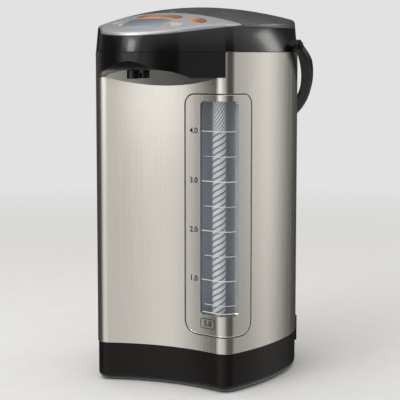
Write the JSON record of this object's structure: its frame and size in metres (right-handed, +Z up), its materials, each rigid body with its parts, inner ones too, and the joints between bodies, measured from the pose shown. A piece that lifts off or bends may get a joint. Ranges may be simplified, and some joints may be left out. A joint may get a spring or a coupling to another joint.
{
  "type": "electric thermo pot",
  "caption": "Tall steel-bodied electric hot-water dispenser with an overhanging spout nose, wrap-around corner water gauge, hinged lid and swinging bail handle.",
  "frame": {"origin": "on the table, under the middle of the outer box; the container's axis stands 31.7 mm behind it", "axes": "+Z up, -Y towards the front with the spout, +X to the right hand of someone facing the front, on the water gauge's side"},
  "size_m": [0.2366, 0.317, 0.4029],
  "materials": {
    "steel_shell": "brushed, satin",
    "bay_silver": "satin silver",
    "black_shell": "satin black",
    "base_black": "satin brown-black",
    "panel_silver": "satin silver",
    "lid_grey": "glossy dark metallic grey",
    "lcd_glass": "glossy display lens",
    "orange_key": "glossy",
    "pale_key": "glossy",
    "clear_pane": "clear, glossy",
    "gauge_glass": "clear",
    "gauge_backing": "smooth",
    "stainless": "satin",
    "pin_steel": "turned",
    "inner_plastic": "moulded",
    "rubber": "matte",
    "seal_silicone": "matte",
    "heater_mica": "plain",
    "board_green": "printed circuit board",
    "harness_grey": "ribbon",
    "magnet_iron": "ground"
  },
  "bodies": {
    "pot": {"body_shell": "steel_shell", "spout_bay": "bay_silver", "base_housing": "base_black", "base_plate": "base_black", "rubber_feet": "rubber", "base_screws": "pin_steel", "shoulder_housing": "black_shell", "spout_cover": "black_shell", "nozzle": "black_shell", "control_panel": "panel_silver", "lcd_window": "lcd_glass", "control_board": "board_green", "hinge_pin": "pin_steel", "container_liner": "stainless", "vacuum_jacket": "stainless", "neck_ring": "inner_plastic", "heater_plate": "heater_mica", "temperature_sensor": "pin_steel", "thermal_fuse": "inner_plastic", "pump_housing": "inner_plastic", "pump_bracket": "inner_plastic", "motor": "pin_steel", "feed_tube": "seal_silicone", "gauge_tube": "gauge_glass", "outlet_tube": "seal_silicone", "window_bezel": "steel_shell", "window_pane": "clear_pane", "window_backing": "gauge_backing", "handle_pins": "black_shell", "plug_receptacle": "base_black", "receptacle_pins": "pin_steel", "power_board": "board_green", "wire_harness": "harness_grey"},
    "lid": {"lid_cover": "lid_grey", "lid_base": "inner_plastic", "lid_inner_plate": "stainless", "lid_seal": "seal_silicone", "steam_duct": "inner_plastic", "steam_vent_cap": "black_shell", "lever_pin": "pin_steel"},
    "lever": {"lid_lever": "lid_grey"},
    "latch": {"lid_latch": "inner_plastic"},
    "bail": {"handle": "black_shell"},
    "dispense_key": {"dispense_button": "orange_key"},
    "unlock_key": {"unlock_button": "orange_key"},
    "reboil_key": {"reboil_button": "pale_key"},
    "timer_key": {"timer_button": "pale_key"},
    "rotor": {"motor_rotor": "magnet_iron"},
    "pump_wheel": {"impeller": "inner_plastic"}
  },
  "joints": [
    {"name": "lid_hinge", "type": "hinge", "parent": "pot", "child": "lid", "pos_m": [0, 0.12266, 0.3846], "axis": [-1, 0, 0], "range_deg": [0, 85]},
    {"name": "lever_tilt", "type": "hinge", "parent": "lid", "child": "lever", "pos_m": [0, -0.03534, 0.3957], "axis": [-1, 0, 0], "range_deg": [0, 30], "stiffness_Nm_per_rad": 0.05},
    {"name": "latch_slide", "type": "slide", "parent": "lid", "child": "latch", "axis": [0, 1, 0], "range_m": [0, 0.003]},
    {"name": "handle_swing", "type": "hinge", "parent": "pot", "child": "bail", "pos_m": [0, 0.03166, 0.3606], "axis": [1, 0, 0], "range_deg": [0, 130]},
    {"name": "dispense_press", "type": "slide", "parent": "pot", "child": "dispense_key", "axis": [0, 0, -1], "range_m": [0, 0.001], "stiffness_N_per_m": 180},
    {"name": "unlock_press", "type": "slide", "parent": "pot", "child": "unlock_key", "axis": [0, 0, -1], "range_m": [0, 0.001], "stiffness_N_per_m": 180},
    {"name": "reboil_press", "type": "slide", "parent": "pot", "child": "reboil_key", "axis": [0, 0, -1], "range_m": [0, 0.001], "stiffness_N_per_m": 180},
    {"name": "timer_press", "type": "slide", "parent": "pot", "child": "timer_key", "axis": [0, 0, -1], "range_m": [0, 0.001], "stiffness_N_per_m": 180},
    {"name": "rotor_spin", "type": "hinge", "parent": "pot", "child": "rotor", "pos_m": [0, 0.00166, 0.0261], "axis": [0, 0, 1], "continuous": true},
    {"name": "impeller_spin", "type": "hinge", "parent": "pot", "child": "pump_wheel", "pos_m": [0, 0.00166, 0.0326], "axis": [0, 0, 1], "continuous": true}
  ],
  "couplings": [
    {"joint": "latch_slide", "follows": "lever_tilt", "m_per_rad": 0.0057},
    {"joint": "impeller_spin", "follows": "rotor_spin", "ratio": 1}
  ]
}
